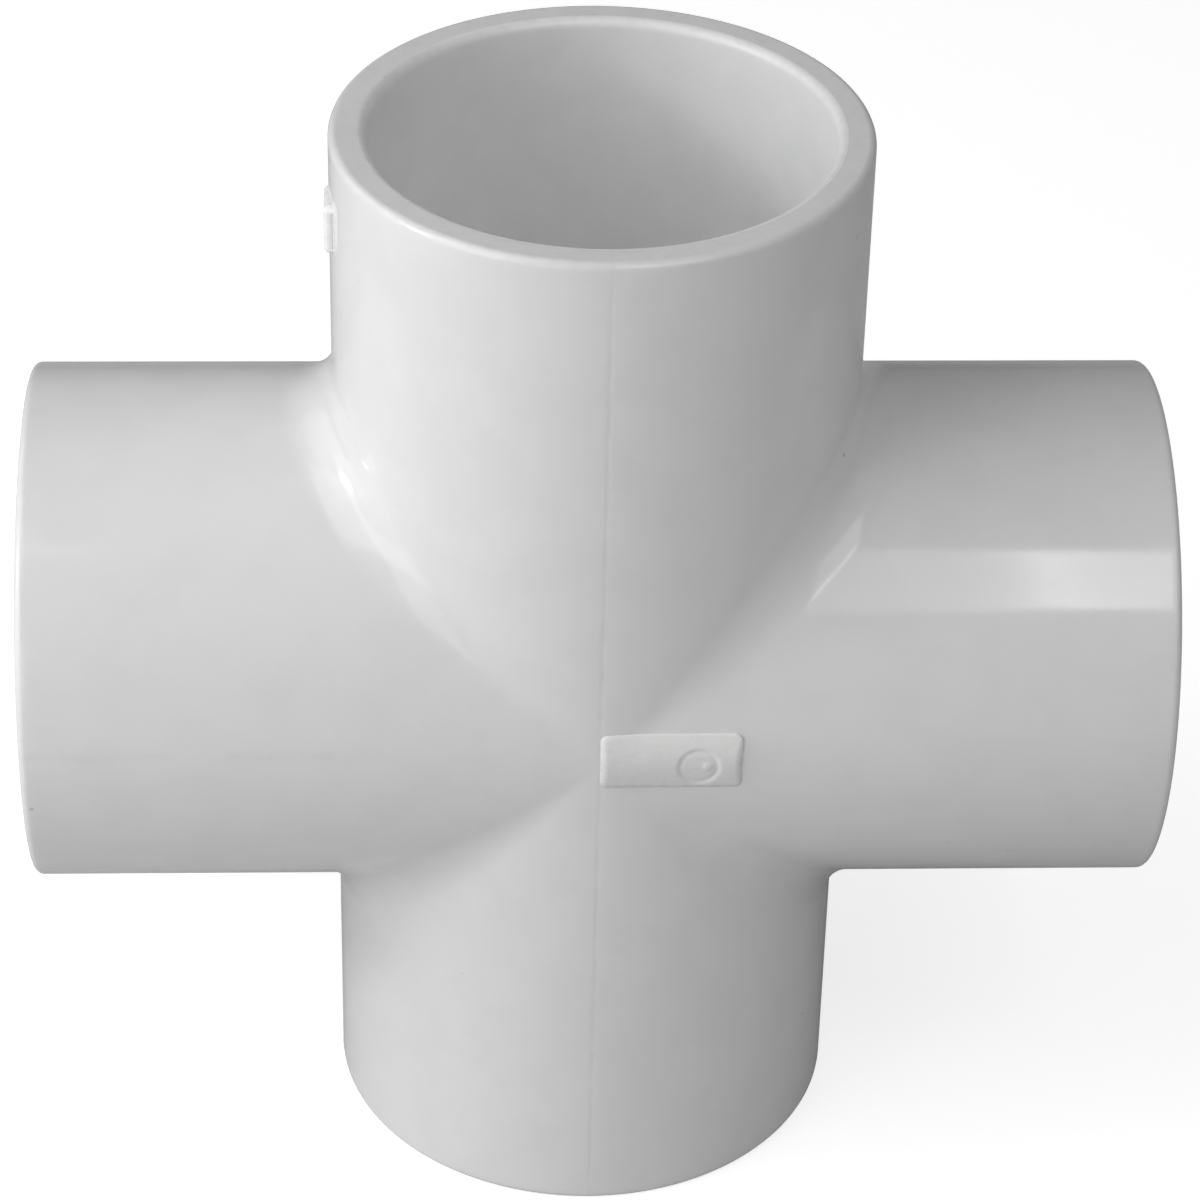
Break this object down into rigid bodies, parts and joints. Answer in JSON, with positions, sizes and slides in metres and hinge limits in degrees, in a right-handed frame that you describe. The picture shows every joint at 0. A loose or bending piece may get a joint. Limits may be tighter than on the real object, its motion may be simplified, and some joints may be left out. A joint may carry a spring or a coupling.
{
  "type": "cross fitting",
  "caption": "Plain white plastic pipe cross: equal solvent-weld sockets on upright and level arms meeting at right angles, each with a stop for the pipe's end.",
  "frame": {"origin": "where the axes of the two crossing bores meet, in the middle of the fitting", "axes": "+Z along the upright arms, towards the upper socket's mouth; +X along the level arms; +Y away from the side that carries the long raised pad"},
  "size_m": [0.122, 0.0569, 0.122],
  "materials": {
    "white_pvc": "semi-gloss moulded PVC, plain white, a little translucent at thin edges"
  },
  "bodies": {
    "root": {"cross_body": "white_pvc"}
  },
  "joints": []
}
